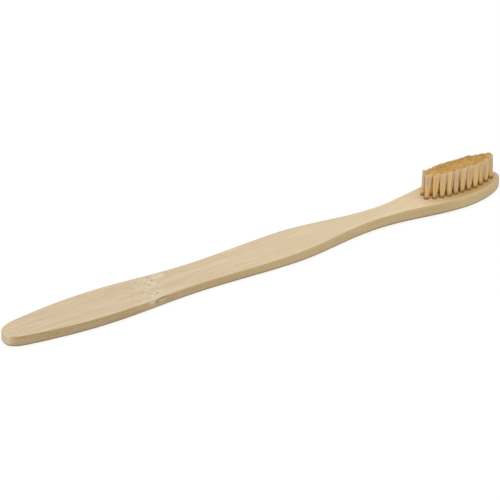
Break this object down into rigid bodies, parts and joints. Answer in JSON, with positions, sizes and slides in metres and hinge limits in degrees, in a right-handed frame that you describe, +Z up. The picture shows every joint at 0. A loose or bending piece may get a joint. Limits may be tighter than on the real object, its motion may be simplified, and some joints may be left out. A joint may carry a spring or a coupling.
{
  "type": "manual toothbrush",
  "caption": "Flat bamboo toothbrush with a waisted handle, a narrow neck and an oval head that holds 36 upright bristle tufts anchored in blind holes.",
  "frame": {"origin": "on the resting plane, under the middle of the brush's length and width", "axes": "+X along the handle from the tail to the head, +Z up out of the face that carries the bristles, +Y to the left when looking from the tail to the head"},
  "size_m": [0.19, 0.0154, 0.015],
  "materials": {
    "bamboo": "fine-sanded bamboo with a thin matt wax finish",
    "bristle": "satin tan filaments with golden brown cut ends",
    "anchor_metal": "cut strip, hidden in the tuft holes"
  },
  "bodies": {
    "root": {"handle": "bamboo", "anchors": "anchor_metal", "tuft_01_1": "bristle", "tuft_01_2": "bristle", "tuft_02_1": "bristle", "tuft_02_2": "bristle", "tuft_02_3": "bristle", "tuft_03_1": "bristle", "tuft_03_2": "bristle", "tuft_03_3": "bristle", "tuft_04_1": "bristle", "tuft_04_2": "bristle", "tuft_04_3": "bristle", "tuft_04_4": "bristle", "tuft_05_1": "bristle", "tuft_05_2": "bristle", "tuft_05_3": "bristle", "tuft_05_4": "bristle", "tuft_06_1": "bristle", "tuft_06_2": "bristle", "tuft_06_3": "bristle", "tuft_06_4": "bristle", "tuft_07_1": "bristle", "tuft_07_2": "bristle", "tuft_07_3": "bristle", "tuft_07_4": "bristle", "tuft_08_1": "bristle", "tuft_08_2": "bristle", "tuft_08_3": "bristle", "tuft_08_4": "bristle", "tuft_09_1": "bristle", "tuft_09_2": "bristle", "tuft_09_3": "bristle", "tuft_10_1": "bristle", "tuft_10_2": "bristle", "tuft_10_3": "bristle", "tuft_11_1": "bristle", "tuft_11_2": "bristle"}
  },
  "joints": []
}
